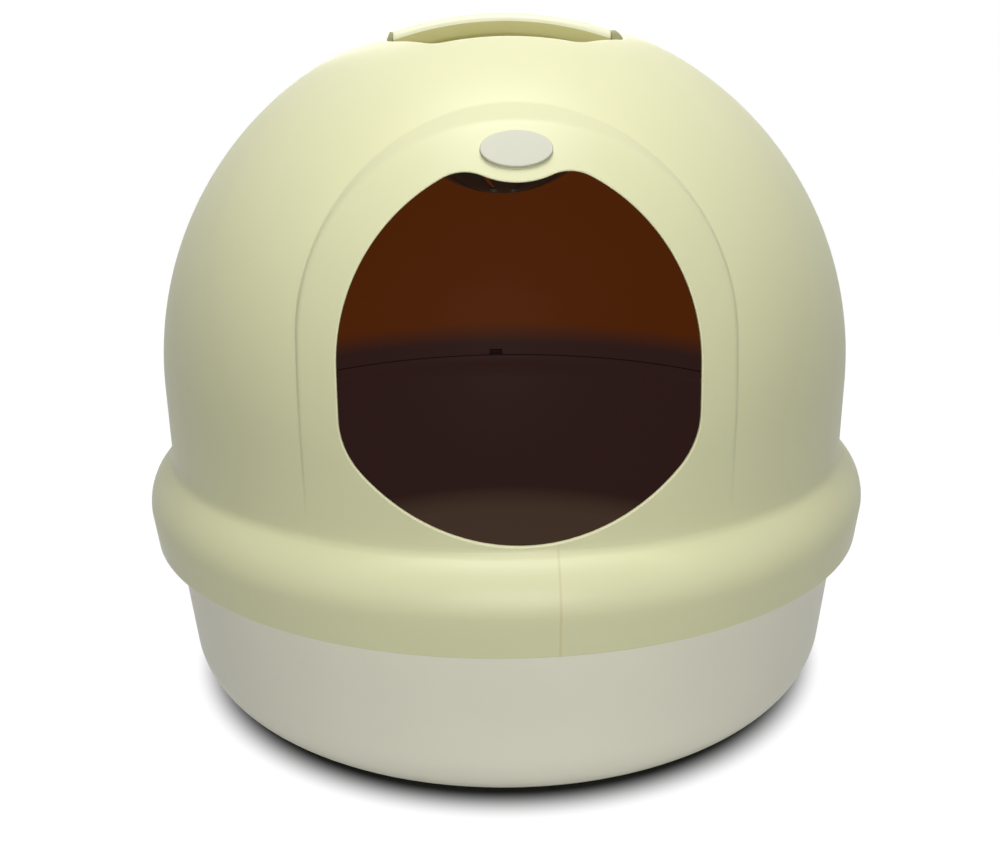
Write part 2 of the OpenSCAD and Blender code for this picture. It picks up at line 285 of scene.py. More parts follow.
def values(context, *groups):
    """The values of each named group, by name, with lengths in millimetres."""
    found = []
    for group in groups:
        store = getattr(context.scene, "litter_box_" + group)
        kinds = store.bl_rna.properties
        units = {key: MM if kinds[key].unit == "LENGTH" else 1 for key in store.__annotations__}
        found.append({key: getattr(store, key) / unit for key, unit in units.items()})
    return found if len(found) > 1 else found[0]


# Mesh building

def add_object(name, data):
    """Puts a mesh, lamp or camera into the scene."""
    item = bpy.data.objects.new(name, data)
    bpy.context.scene.collection.objects.link(item)
    return item


class Shell:
    """Grids of points, collected and joined into one closed mesh."""

    def __init__(self):
        self.points = []
        self.faces = []
        self.zones = []
        self.count = 0

    def add(self, points, faces, zone):
        """Adds points and the faces between them: four corners each, a triangle's last two alike."""
        self.points.append(points.reshape(-1, 3))
        self.faces.append(faces + self.count)
        self.zones.append(np.full(len(faces), zone))
        self.count += self.points[-1].shape[0]

    def grid(self, points, zone=OUTSIDE, wrap=True, flip=False, keep=None):
        """Adds a grid of points, rows by columns, with a face in each cell that keep leaves in."""
        rows, columns = points.shape[:2]
        index = np.arange(rows * columns).reshape(rows, columns)
        if wrap:
            index = np.concatenate([index, index[:, :1]], axis=1)
        corners = [index[:-1, :-1], index[:-1, 1:], index[1:, 1:], index[1:, :-1]]
        faces = np.stack(corners[::-1] if flip else corners, axis=-1)
        faces = faces[keep] if keep is not None else faces.reshape(-1, 4)
        self.add(points, faces, zone)

    def zipper(self, coarse, fine, zone=OUTSIDE, flip=False):
        """Joins a closed ring to one with twice its points, three triangles to each coarse edge."""
        count = len(coarse)
        a = np.arange(count)
        b = np.roll(a, -1)
        f = count + 2 * a
        middle = f + 1
        after = count + 2 * b
        faces = np.concatenate([
            np.stack([a, b, middle, middle], axis=1),
            np.stack([a, middle, f, f], axis=1),
            np.stack([b, after, middle, middle], axis=1),
        ])
        self.add(np.concatenate([coarse, fine]), faces[:, [2, 1, 0, 0]] if flip else faces, zone)

    def build(self, name, materials):
        """Merges points that coincide, drops faces that vanish and makes the object."""
        points = np.concatenate(self.points)
        same = np.round(points, 4)
        _, first, where = np.unique(same, axis=0, return_index=True, return_inverse=True)
        where = where.reshape(-1)
        points = points[first] * MM
        faces = where[np.concatenate(self.faces)]
        zones = np.concatenate(self.zones)
        repeat = faces == np.roll(faces, -1, axis=1)
        four = ~repeat.any(axis=1) & (faces[:, 0] != faces[:, 2]) & (faces[:, 1] != faces[:, 3])
        three = repeat.sum(axis=1) == 1
        corners = faces[three][~repeat[three]].reshape(-1, 3)
        sound = (corners[:, 0] != corners[:, 1]) & (corners[:, 1] != corners[:, 2])
        sound &= corners[:, 0] != corners[:, 2]
        mesh = bpy.data.meshes.new(name)
        mesh.from_pydata(points.tolist(), [], faces[four].tolist() + corners[sound].tolist())
        zones = np.concatenate([zones[four], zones[three][sound]]).astype(np.int32)
        for material in materials:
            mesh.materials.append(material)
        mesh.polygons.foreach_set("material_index", zones)
        mesh.polygons.foreach_set("use_smooth", np.ones(len(zones), bool))
        mesh.update()
        return add_object(name, mesh)


def arc(centre, radius, start, end, steps):
    """Points of an arc, from one angle in degrees to the other, in equal steps."""
    angle = np.radians(np.linspace(start, end, steps + 1))
    return np.stack([centre[0] + radius * np.cos(angle), centre[1] + radius * np.sin(angle)], axis=1)


def line(start, end, steps):
    """Points of a straight line in equal steps."""
    return np.linspace(np.array(start, float), np.array(end, float), steps + 1)


def chain(*parts):
    """Joins point lists end to end, without the points that they share."""
    return np.concatenate([parts[0]] + [part[1:] for part in parts[1:]])


def heading(start, end):
    """Direction from one point to another, in degrees."""
    return math.degrees(math.atan2(end[1] - start[1], end[0] - start[0]))


def rounded(before, corner, after, share=EASE):
    """Points or rings round a corner: the quadratic curve from before to after, drawn to the corner."""
    before, corner, after = (np.array(spot, float) for spot in (before, corner, after))
    t = share.reshape((-1,) + (1,) * before.ndim)
    return (1 - t) ** 2 * before + 2 * t * (1 - t) * corner + t ** 2 * after


def towards(start, end, distance):
    """The point at a distance from start on the way to end, but short of the middle."""
    gap = np.linalg.norm(end - start, axis=-1, keepdims=True)
    return start + (end - start) * np.minimum(distance / np.maximum(gap, 1e-6), 0.45)


def between(start, end, shares):
    """Values or points at the given shares of the way from start to end."""
    return [start + (end - start) * share for share in shares]


def spokes(radius, height, turns):
    """A ring round the upright axis: radius times the sine and cosine of the turn, and height."""
    return np.stack([radius * np.sin(turns), -radius * np.cos(turns), height + 0 * turns], axis=-1)


def revolve(profile, turns):
    """Carries a half outline, in rows of radius and height, round the upright axis."""
    return spokes(profile[:, 0, None], profile[:, 1, None], turns)


def smooth_outline(corners, radius):
    """A closed polygon with each corner rounded by a quadratic curve that starts a radius away."""
    corners = np.array(corners, float)
    before = towards(corners, np.roll(corners, 1, axis=0), radius)
    after = towards(corners, np.roll(corners, -1, axis=0), radius)
    curve = rounded(before, corners, after, np.linspace(0, 1, 9))
    return np.swapaxes(curve, 0, 1).reshape(-1, 2)


def reach(outline, angles):
    """How far a closed outline lies from its centre in each direction, along its straight edges."""
    share = np.linspace(0, 1, 48, endpoint=False)[:, None, None]
    outline = (outline + (np.roll(outline, -1, axis=0) - outline) * share).reshape(-1, 2)
    around = np.arctan2(outline[:, 1], outline[:, 0])
    away = np.linalg.norm(outline, axis=1)
    order = np.argsort(around)
    return np.interp(angles, around[order], away[order], period=2 * math.pi)


def turns_round():
    """Equal turns round the upright axis, from the back over the front to the back."""
    return np.radians(np.arange(SECTORS) * 360 / SECTORS - 180)


# Hood

def skirt_centres(h):
    """Centres of the shoulder's arc and of the hollow's, and the turn at which they touch."""
    shoulder = np.array([h["dome_r"] + h["skirt_out"] - h["shoulder_r"], h["skirt_wide_z"]])
    hollow_x = h["dome_r"] + h["hollow_r"]
    apart = h["shoulder_r"] + h["hollow_r"]
    rise = math.sqrt(apart ** 2 - (hollow_x - shoulder[0]) ** 2)
    hollow = np.array([hollow_x, shoulder[1] + rise])
    return shoulder, hollow, heading(shoulder, hollow)


def hood_profile(h, inset):
    """Half outline of the plain hood, drawn in by inset, as rows from the skirt's edge to the well.

    The skirt is a slanted line, its shoulder an arc, the hollow a counter-arc, then come the
    straight wall and the dome's circle. Equal rows of two insets lie square to each other.
    Gives the rows at which the front field starts, halfway up the hollow, and ends too.
    """
    skirt_rows, shoulder_rows, hollow_rows, last_rows = 4, 12, 6, 3
    skirt_r = h["dome_r"] + h["skirt_out"] - inset
    edge = (skirt_r - h["skirt_draw_in"], h["skirt_bottom_z"] + h["edge_r"])
    shoulder, hollow, turn = skirt_centres(h)
    top = math.degrees(math.asin((h["window_top_z"] - h["dome_z"]) / h["dome_r"]))
    centre = (0, h["dome_z"])
    wall_x = h["dome_r"] - inset
    rows = chain(
        line(edge, (skirt_r, h["skirt_wide_z"]), skirt_rows),
        arc(shoulder, h["shoulder_r"] - inset, 0, turn, shoulder_rows),
        arc(hollow, h["hollow_r"] + inset, turn + 180, 180, hollow_rows),
        line((wall_x, hollow[1]), (wall_x, h["dome_z"]), 11),
        arc(centre, wall_x, 0, top, 50),
        arc(centre, wall_x, top, top + 6, last_rows),
    )
    return rows, skirt_rows + shoulder_rows + hollow_rows // 2, len(rows) - 1 - last_rows


def plain_radius(h, z, inset):
    """Radius of the plain hood at a height: hollow's arc, straight wall, then the dome's chord."""
    _, hollow, _ = skirt_centres(h)
    bow_r = h["hollow_r"] + inset
    under = np.clip(hollow[1] - z, 0, bow_r)
    above = np.maximum(z - h["dome_z"], 0)
    low = hollow[0] - np.sqrt(bow_r ** 2 - under ** 2)
    return np.where(z < hollow[1], low, np.sqrt((h["dome_r"] - inset) ** 2 - above ** 2))


def panel_radius(h, f, z, inset):
    """Radius of the front panel at a height: its own circle, and lower down a line into the wall."""
    middle = h["dome_r"] + f["proud"] - f["curve_r"]
    above = np.maximum(z - h["dome_z"], 0)
    curve = middle + np.sqrt((f["curve_r"] - inset) ** 2 - above ** 2)
    sunk = np.clip((h["dome_z"] - z) / (h["dome_z"] - f["fade_z"]), 0, 1) * f["proud"]
    return np.where(z < f["fade_z"], plain_radius(h, z, inset), curve - sunk)


def on_front(x, z, radius):
    """Points of the front at a width and a height, on a round of the given radius."""
    return np.stack([x, -np.sqrt(np.maximum(radius ** 2 - x ** 2, 0)), z], axis=-1)


def arch_line(h, f, inset, surface):
    """Width and height of the arch where its leaning wall meets a surface.

    The arch is drawn in its own leaning plane, with straight sides 100 mm long under a half
    ellipse. Each of its points is moved square to that plane, and halving the interval that
    holds the meeting point finds how far.
    """
    sine, cosine = math.sin(f["slope"]), math.cos(f["slope"])
    t = np.radians(np.linspace(0, 180, 181))
    below = np.linspace(-100, 0, 40, endpoint=False)
    half_w, rise = f["half_w"] - inset, (f["rise"] - inset) * cosine
    side = np.full(len(below), half_w)
    u = np.concatenate([side, half_w * np.cos(t), -side])
    v = np.concatenate([below, rise * np.sin(t), below[::-1]])
    top_z = f["spring_z"] + f["rise"]
    start_y = plain_radius(h, top_z, 0)
    near, far = np.full_like(u, -80.0), np.full_like(u, 160.0)
    for _ in range(40):
        s = (near + far) / 2
        y = start_y + v * sine + s * cosine
        z = f["spring_z"] + v * cosine - s * sine
        outside = np.hypot(u, y) > surface(z)
        far = np.where(outside, s, far)
        near = np.where(outside, near, s)
    return np.stack([u, z], axis=1)


def entry_outline(e):
    """Closed outline of the entry: bowl, blend, flank, ear and tongue, and their mirror image."""
    flank_r = e["half_w"] + e["flank_shift"]
    flank = np.array([-e["flank_shift"], e["wide_z"]])
    bowl = np.array([0, e["bottom_z"] + e["bowl_r"]])
    blend_x = e["half_w"] - e["blend_r"]
    blend_rise = math.sqrt((e["bowl_r"] - e["blend_r"]) ** 2 - blend_x ** 2)
    blend = np.array([blend_x, bowl[1] - blend_rise])
    tongue = np.array([0, e["tongue_z"] + e["tongue_r"]])
    gap = tongue - flank
    far = np.linalg.norm(gap)
    to_flank, to_tongue = flank_r - e["ear_r"], e["tongue_r"] + e["ear_r"]
    along = (to_flank ** 2 - to_tongue ** 2 + far ** 2) / (2 * far)
    across = math.sqrt(to_flank ** 2 - along ** 2)
    ear = flank + gap / far * along + np.array([gap[1], -gap[0]]) / far * across
    right = chain(
        arc(bowl, e["bowl_r"], -90, heading(bowl, blend), 40),
        arc(blend, e["blend_r"], heading(bowl, blend), 0, 24),
        line((e["half_w"], blend[1]), (e["half_w"], e["wide_z"]), 6),
        arc(flank, flank_r, 0, heading(flank, ear), 40),
        arc(ear, e["ear_r"], heading(flank, ear), heading(ear, tongue), 12),
        arc(tongue, e["tongue_r"], heading(tongue, ear), -90, 14),
    )
    return np.concatenate([right, right[-2:0:-1] * [-1, 1]])


def window_loop(low, high):
    """Rows and columns of the front field's border, once round from its lower left corner."""
    first, last = SECTORS // 2 - WINDOW_HALF, SECTORS // 2 + WINDOW_HALF
    across = np.arange(first, last)
    up = np.arange(low, high)
    rows = [np.full_like(across, low), up, np.full_like(across, high), up[::-1] + 1]
    columns = [across, np.full_like(up, last), across[::-1] + 1, np.full_like(up, first)]
    return np.concatenate(rows), np.concatenate(columns)


def front_rings(h, f, e, inset, border, fine_edges):
    """Rings of the front field, from the entry's edge out to its border.

    Each ring point lies on a ray from the field's middle. Its distance goes from the entry's
    outline to the panel's outer edge, to the foot of the panel's wall and to the border.
    """
    middle = np.array([0.0, (e["bottom_z"] + e["tongue_z"]) / 2])
    flat = border[:, [0, 2]] - middle
    flat = np.stack([flat, (flat + np.roll(flat, -1, axis=0)) / 2], axis=1).reshape(-1, 2)
    angle = np.arctan2(flat[:, 1], flat[:, 0])
    rim = np.linalg.norm(flat, axis=1)
    way = np.stack([np.cos(angle), np.sin(angle)], axis=1)

    def plain(z):
        return plain_radius(h, z, inset)

    def panel(z):
        return panel_radius(h, f, z, inset)

    def at(distance, surface):
        """A ring at a distance from the middle, laid on a surface."""
        spot = middle + way * distance[:, None]
        return on_front(spot[:, 0], spot[:, 1], surface(spot[:, 1]))

    def closed(outline, margin):
        """Reach of an arch that is open below: under its sides it ends on a level line."""
        side = (f["half_w"] - inset + margin) / np.maximum(np.abs(np.cos(angle)), 1e-6)
        level = (middle[1] - low_z + margin) / np.maximum(-np.sin(angle), 1e-6)
        arch = reach(outline - middle, angle) + margin
        return np.where(np.sin(angle) > -0.15, arch, np.minimum(side, level))

    def rounding(radius, room, share=0.35):
        """A rounding's size, kept to a share of the room it has."""
        return np.minimum(radius, room * share)

    bottom = border[:, 2].min()
    low_z = bottom + (e["bottom_z"] - bottom) * 0.35
    least = 0.3
    entry = reach(entry_outline(e) - middle, angle)
    crest = closed(arch_line(h, f, inset, panel), 0.0)
    foot = np.maximum(closed(arch_line(h, f, inset, plain), least), crest + least)
    edge = entry + rounding(h["edge_r"], crest - entry, 0.3)
    crest_in = crest - rounding(f["crest_r"], crest - edge)
    foot_out = foot + rounding(f["foot_r"], rim - foot)

    crest_point, foot_point = at(crest, panel), at(foot, plain)
    near_foot = towards(crest_point, foot_point, f["crest_r"])
    near_crest = towards(foot_point, crest_point, f["foot_r"])
    share = FINE_EASE if fine_edges else EASE[::2]
    face = between(edge, crest_in, (0, 0.012, 0.06, 0.15, 0.28, 0.42, 0.57, 0.72, 0.86))
    rings = [at(distance, panel) for distance in face]
    rings += list(rounded(at(crest_in, panel), crest_point, near_foot, share))
    rings += list(rounded(near_crest, foot_point, at(foot_out, plain), share))
    rings += [at(distance, plain) for distance in between(foot_out, rim, (0.08, 0.25, 0.45, 0.7, 0.9))]
    return np.array(rings), at(entry, panel)


def well_reach(w, grow, turns):
    """How far the well's rounded octagon, grown by grow, lies from the axis in each direction."""
    half_w, half_l = w["half_w"] + grow, w["half_l"] + grow
    edge, side = w["edge_half_w"] + grow / 2, w["side_half_l"] + grow / 2
    corners = [(edge, -half_l), (half_w, -side), (half_w, side), (edge, half_l)]
    corners += [(-edge, half_l), (-half_w, side), (-half_w, -side), (-edge, -half_l)]
    return reach(smooth_outline(corners, w["corner_r"]), turns - math.pi / 2)


def vent_columns():
    """Each column's number in its sector of the floor, counted from the middle of the air slot."""
    return np.arange(SECTORS) % VENT_SECTORS - VENT_SECTORS // 2


def vent_turns(w, radius, turns):
    """Turns of a floor ring, with two columns of each sector moved onto the sides of an air slot."""
    base = vent_columns()
    half = VENT_SECTORS // 2
    step = 2 * math.pi / SECTORS
    side = math.asin(w["vent_w"] / 2 / radius)
    inner = base / VENT_HALF * side
    share = (np.abs(base) - VENT_HALF) / (half - VENT_HALF)
    outer = np.sign(base) * (side + (half * step - side) * share)
    return turns - base * step + np.where(np.abs(base) <= VENT_HALF, inner, outer)


def floor_rings(w, turns, height):
    """Rings of the slotted floor at one height, from its outer circle to its centre."""
    rings = [spokes(w["vent_to_r"] + VENT_MARGIN, height, turns)]
    reaches = np.linspace(w["vent_to_r"], w["vent_from_r"], VENT_ROWS + 1)
    rings += [spokes(r, height, vent_turns(w, r, turns)) for r in reaches]
    rings += [spokes(w["vent_from_r"] * s, height, turns) for s in (0.6, 0.25, 0.0)]
    return np.array(rings)


def slot_cells(count):
    """Cells of the floor's rings that lie in an air slot."""
    row, column = np.arange(count), vent_columns()
    across = (column >= -VENT_HALF) & (column < VENT_HALF)
    return ((row >= 1) & (row <= VENT_ROWS))[:, None] & across


def add_well(shell, h, w, g, turns, outer_top, inner_top):
    """The handle well: rim, upright wall, slotted floor, collar and the wall's back.

    Rings run from the dome down into the well, and back up on its other side. The wall's rings
    follow the slots of the handle's tongues, and elsewhere stay just under the rim.
    """
    floor_z, under_z = w["floor_z"], w["floor_z"] - h["wall"]
    edge = well_reach(w, 0, turns)
    back = well_reach(w, h["wall"], turns)
    start = np.hypot(outer_top[:, 0], outer_top[:, 1])
    inner_start = np.hypot(inner_top[:, 0], inner_top[:, 1])
    slot_z, slot_half = tongue_height(h, w, g), g["lug_thick"] / 2 + g["gap"]

    def dome(radius, inset):
        """Height of the dome's circle, drawn in by inset, at a radius."""
        return h["dome_z"] + np.sqrt((h["dome_r"] - inset) ** 2 - radius ** 2)

    def slot_edges(limit):
        """Upper and lower edge of the tongues' slots, and elsewhere a little under the limit."""
        return np.minimum(slot_z + slot_half, limit - 1), np.minimum(slot_z - slot_half, limit - 3)

    rim = edge + w["rim_r"]
    slide = between(start, rim, (0, 0.2, 0.45, 0.7, 0.88, 0.97))
    upper = [spokes(r, dome(r, 0), turns) for r in slide]
    corner = spokes(edge, dome(edge, 0), turns)
    below_rim = corner - [0, 0, w["rim_r"]]
    upper += list(rounded(spokes(rim, dome(rim, 0), turns), corner, below_rim, FINE_EASE))
    high, low = slot_edges(below_rim[:, 2])
    front_slot = len(upper)
    upper += [spokes(edge, z, turns) for z in (high, low, (low + floor_z) / 2)]
    foot = spokes(edge, floor_z, turns)
    round_foot = w["rim_r"] * 1.5
    wide, hub = edge - round_foot, w["vent_to_r"] + VENT_MARGIN
    upper += list(rounded(foot + [0, 0, round_foot], foot, spokes(wide, floor_z, turns)))
    upper += [spokes(r, floor_z, turns) for r in between(wide, hub, (0.05, 0.35, 0.7))]
    upper = np.array(upper)
    shell.grid(upper, keep=~tongue_cells(len(upper) - 1, front_slot))

    top = floor_rings(w, turns, floor_z)
    under = floor_rings(w, turns, under_z)
    shell.grid(np.array([upper[-1], top[0]]))
    open_cells = slot_cells(len(top) - 1)
    shell.grid(top, keep=~open_cells)
    shell.grid(under, INSIDE, flip=True, keep=~open_cells)
    slot = slice(1, VENT_ROWS + 2)
    for middle in range(VENT_SECTORS // 2, SECTORS, VENT_SECTORS):
        add_slot_wall(shell, top[slot], under[slot], middle, VENT_HALF)

    collar_in, collar_out = w["collar_r"], w["collar_r"] + w["collar_wall"]
    end = under_z - w["collar_h"]
    collar = [(collar_in, under_z), (collar_in, end), (collar_out, end), (collar_out, under_z)]
    lower = [spokes(r, z, turns) for r, z in [(hub, under_z)] + collar]
    lower += [spokes(r, under_z, turns) for r in between(collar_out, back, (0.5, 0.97, 1))]
    ceiling = dome(back, h["wall"])
    high, low = slot_edges(ceiling)
    back_slot = len(lower) + 1
    lower += [spokes(back, z, turns) for z in ((low + under_z) / 2, low, high, ceiling)]
    away = between(back, inner_start, (0.04, 0.3, 0.6, 1))
    lower += [spokes(r, dome(r, h["wall"]), turns) for r in away]
    lower = np.array(lower)
    shell.grid(lower, INSIDE, keep=~tongue_cells(len(lower) - 1, back_slot))
    pair = upper[front_slot:front_slot + 2], lower[back_slot + 1:back_slot - 1:-1]
    for middle in SIDES:
        add_slot_wall(shell, *pair, middle, TONGUE_HALF)


def tongue_height(h, w, g):
    """Height of the handle's tongues: the middle of the bar where it meets the well's side."""
    middle_r = h["dome_r"] - g["sunk"] - g["thick"] / 2
    return h["dome_z"] + math.sqrt(middle_r ** 2 - w["half_w"] ** 2)


def tongue_cells(count, row):
    """Cells of the well's wall that lie in the slots of the handle's tongues."""
    column = np.arange(SECTORS) + 0.5
    across = np.any([np.abs(column - middle) < TONGUE_HALF for middle in SIDES], axis=0)
    return (np.arange(count) == row)[:, None] & across


def add_slot_wall(shell, near, far, middle, half):
    """The wall round a slot, from one grid to the other, half its columns on each side of a middle."""
    steps = len(near) - 1
    first, last = middle - half, middle + half
    loop = [(0, c) for c in range(first, last)]
    loop += [(r, last) for r in range(steps)]
    loop += [(steps, c) for c in range(last, first, -1)]
    loop += [(r, first) for r in range(steps, 0, -1)]
    rows, columns = np.array(loop).T
    shell.grid(np.array([near[rows, columns], far[rows, columns]]), flip=True)


def build_hood(context, materials):
    """The one-piece hood: an outer and an inner skin, the front field and the well."""
    h, f, e, w, g = values(context, "hood", "facade", "entry", "well", "handle")
    turns = turns_round()
    shell = Shell()
    outer_profile, low, high = hood_profile(h, 0)
    inner_profile, _, _ = hood_profile(h, h["wall"])
    outer, inner = revolve(outer_profile, turns), revolve(inner_profile, turns)
    rows, columns = window_loop(low, high)
    keep = np.ones((len(outer) - 1, SECTORS), bool)
    middle = SECTORS // 2
    keep[low:high, middle - WINDOW_HALF:middle + WINDOW_HALF] = False
    shell.grid(outer, keep=keep)
    shell.grid(inner, INSIDE, flip=True, keep=keep)

    front, edge_out = front_rings(h, f, e, 0, outer[rows, columns], True)
    back, edge_in = front_rings(h, f, e, h["wall"], inner[rows, columns], False)
    near_in = towards(edge_out, edge_in, h["edge_r"])
    near_out = towards(edge_in, edge_out, h["edge_r"])
    cut = list(rounded(front[0], edge_out, near_in)) + list(rounded(near_out, edge_in, back[0]))
    shell.grid(front, flip=True)
    shell.zipper(outer[rows, columns], front[-1])
    shell.grid(np.array(cut))
    shell.grid(back, INSIDE)
    shell.zipper(inner[rows, columns], back[-1], INSIDE, flip=True)

    r = h["edge_r"]
    x_out, x_in, z = outer_profile[0, 0], inner_profile[0, 0], h["skirt_bottom_z"]
    under = chain(
        rounded((x_in, z + r), (x_in, z), (x_in + r, z)),
        rounded((x_out - r, z), (x_out, z), (x_out, z + r)),
    )
    shell.grid(revolve(under, turns))
    add_well(shell, h, w, g, turns, outer[-1], inner[-1])
    return shell.build("hood_shell", materials)


# Pan

def lip_radii(h, p):
    """Inner and outer radius of the pan's lip."""
    outer = h["dome_r"] - h["wall"] - p["lip_gap"]
    return outer - p["lip_thick"], outer


def pan_profile(h, p):
    """Half outline of the pan: the outside from the foot up to the lip, and the inside back down."""
    taper = math.atan(p["draft"] / h["skirt_wide_z"])
    lean = np.array([math.sin(taper), math.cos(taper)])
    out = np.array([lean[1], -lean[0]])
    foot_r = h["dome_r"] + h["skirt_out"] - p["inset"] - p["draft"]
    corner = np.array([foot_r - p["corner_r"] * (1 - lean[0]) / lean[1], p["corner_r"]])
    shoulder = skirt_centres(h)[0]
    shoulder_r = h["shoulder_r"] - h["wall"] - p["seat_gap"]
    lip_in, lip_out = lip_radii(h, p)
    lip_r = p["lip_thick"] / 2
    lip = np.array([lip_in + lip_r, p["lip_z"] - lip_r])

    def side(inset, lip_x, corner_steps):
        """Corner, drafted wall and shoulder, drawn in by inset, up to the lip."""
        corner_r, bow_r = p["corner_r"] - inset, shoulder_r - inset
        start = corner + corner_r * out
        gap = start - shoulder
        along = gap @ lean
        top = start + lean * (math.sqrt(along ** 2 - gap @ gap + bow_r ** 2) - along)
        turn = math.degrees(math.acos((lip_x - shoulder[0]) / bow_r))
        bow = arc(shoulder, bow_r, heading(shoulder, top), turn, 8)
        return chain(
            arc(corner, corner_r, -90, -math.degrees(taper), corner_steps),
            line(start, top, 12),
            bow,
            line(bow[-1], (lip_x, lip[1]), 2),
        )

    wall, foot_h = p["wall"], p["foot_h"]
    foot_x = corner[0] - p["foot_w"]
    step_x, floor_z = foot_x + wall, wall + foot_h
    outside = chain(
        line((0, foot_h), (foot_x - 2, foot_h), 6),
        rounded((foot_x - 2, foot_h), (foot_x, foot_h), (foot_x + 0.6, 0)),
        line((foot_x + 0.6, 0), (corner[0], 0), 4),
        side(0, lip_out, 20),
    )
    inside = chain(
        arc(lip, lip_r, 0, 180, 8),
        side(wall, lip_in, 18)[::-1],
        line((corner[0], wall), (step_x + 3, wall), 2),
        rounded((step_x + 3, wall), (step_x + 1, wall), (step_x - 1, floor_z)),
        line((step_x - 1, floor_z), (0, floor_z), 8),
    )
    return outside, inside


def build_pan(context, materials):
    """The pan: its outline carried round the axis, and the small tab on the lip at the back."""
    h, p = values(context, "hood", "pan")
    turns = turns_round()
    outside, inside = pan_profile(h, p)
    shell = Shell()
    shell.grid(revolve(outside, turns))
    shell.grid(revolve(inside, turns), INSIDE)
    lip_in, lip_out = lip_radii(h, p)
    low, high = p["lip_z"] - p["lip_thick"], p["lip_z"] + p["tab_h"]
    half = np.array([p["tab_w"], high - low, p["lip_thick"]]) / 2

    def on_lip(u, v, d):
        """The tab's block, bent to the lip's circle."""
        x, away = u * half[0], lip_in + (lip_out - lip_in) * (d + 1) / 2
        return np.stack([x, np.sqrt(away ** 2 - x ** 2), low + (high - low) * (v + 1) / 2], axis=-1)

    add_block(shell, on_lip, half, INSIDE)
    return shell.build("pan_tub", materials)


def add_block(shell, place, half, zone):
    """A block with rounded edges, from the six grids of a cube.

    Each point is clamped to the smaller core, pushed out from there by the rounding's radius,
    and then placed.
    """
    core = half - BLOCK_ROUND
    edge = np.linspace(0.86, 1, 4)
    steps = np.concatenate([-edge[::-1], np.linspace(-0.6, 0.6, 5), edge])
    u, v = np.meshgrid(steps, steps, indexing="ij")
    one = np.ones_like(u)
    for axis in range(3):
        for sign in (-1, 1):
            cube = [None, None, None]
            cube[axis], cube[(axis + 1) % 3], cube[(axis + 2) % 3] = sign * one, u, v
            point = np.stack(cube, axis=-1) * half
            kernel = np.clip(point, -core, core)
            away = point - kernel
            size = np.linalg.norm(away, axis=-1, keepdims=True)
            point = (kernel + away / np.maximum(size, 1e-9) * BLOCK_ROUND) / half
            shell.grid(place(*np.moveaxis(point, -1, 0)), zone, wrap=False, flip=sign < 0)


# Handle, badge and filter

def bar_outline(g, bar_r):
    """Closed section of the handle bar: across its width, and outwards from the dome's centre."""
    half, low = g["width"] / 2, bar_r - g["thick"]
    top, under = g["top_round"], g["under_round"]
    corners = [
        ((half - under, low + under), under, -90, 0, 5),
        ((half - top, bar_r - top), top, 0, 90, 8),
        ((-half + top, bar_r - top), top, 90, 180, 8),
        ((-half + under, low + under), under, 180, 270, 5),
    ]
    return np.concatenate([arc(*corner) for corner in corners])


def build_handle(context, materials):
    """The carry handle: its section carried over the dome's curve, and a tongue at each end."""
    h, w, g = values(context, "hood", "well", "handle")
    shell = Shell()
    bar_r = h["dome_r"] - g["sunk"]
    section = bar_outline(g, bar_r)
    middle = np.array([0, bar_r - g["thick"] / 2])
    end = w["half_w"] - g["gap"]
    along = np.concatenate([[-1, -0.997, -0.99], np.linspace(-0.97, 0.97, 33), [0.99, 0.997, 1]]) * end
    edge_along, edge_across = 0.9, 0.6
    pulled = np.minimum((end - np.abs(along)) / edge_along, 1)
    drawn = edge_across * (1 - np.sqrt(1 - (1 - pulled) ** 2))
    half = np.array([g["width"], g["thick"]]) / 2
    loops = (section - middle) * (1 - drawn[:, None, None] / half)
    loops = np.concatenate([[loops[0] * 0, loops[0] * 0.5], loops, [loops[-1] * 0.5, loops[-1] * 0]])
    loops = middle + loops
    along = np.concatenate([[along[0]] * 2, along, [along[-1]] * 2])[:, None]
    height = h["dome_z"] + np.sqrt(loops[..., 1] ** 2 - along ** 2)
    points = np.stack([along + 0 * height, loops[..., 0], height], axis=-1)
    corner = np.arange(points.shape[1])
    first_top, first_under = 6, 23
    # The top faces take the painted highlight, the sides and underside the painted shade.
    crest = np.ones((len(points) - 1, 1), bool) & (corner >= first_top) & (corner < first_under)
    shell.grid(points, keep=crest)
    shell.grid(points, INSIDE, keep=~crest)
    lug_z = tongue_height(h, w, g)
    size = np.array([g["lug_thick"] + g["lug_reach"], g["lug_w"], g["lug_thick"]]) / 2
    for side in (-1, 1):
        centre = np.array([side * (w["half_w"] - g["lug_thick"] + size[0]), 0, lug_z])
        add_block(shell, lambda *spot, c=centre: c + np.stack(spot, axis=-1) * size, size, OUTSIDE)
    return shell.build("handle_bar", materials)


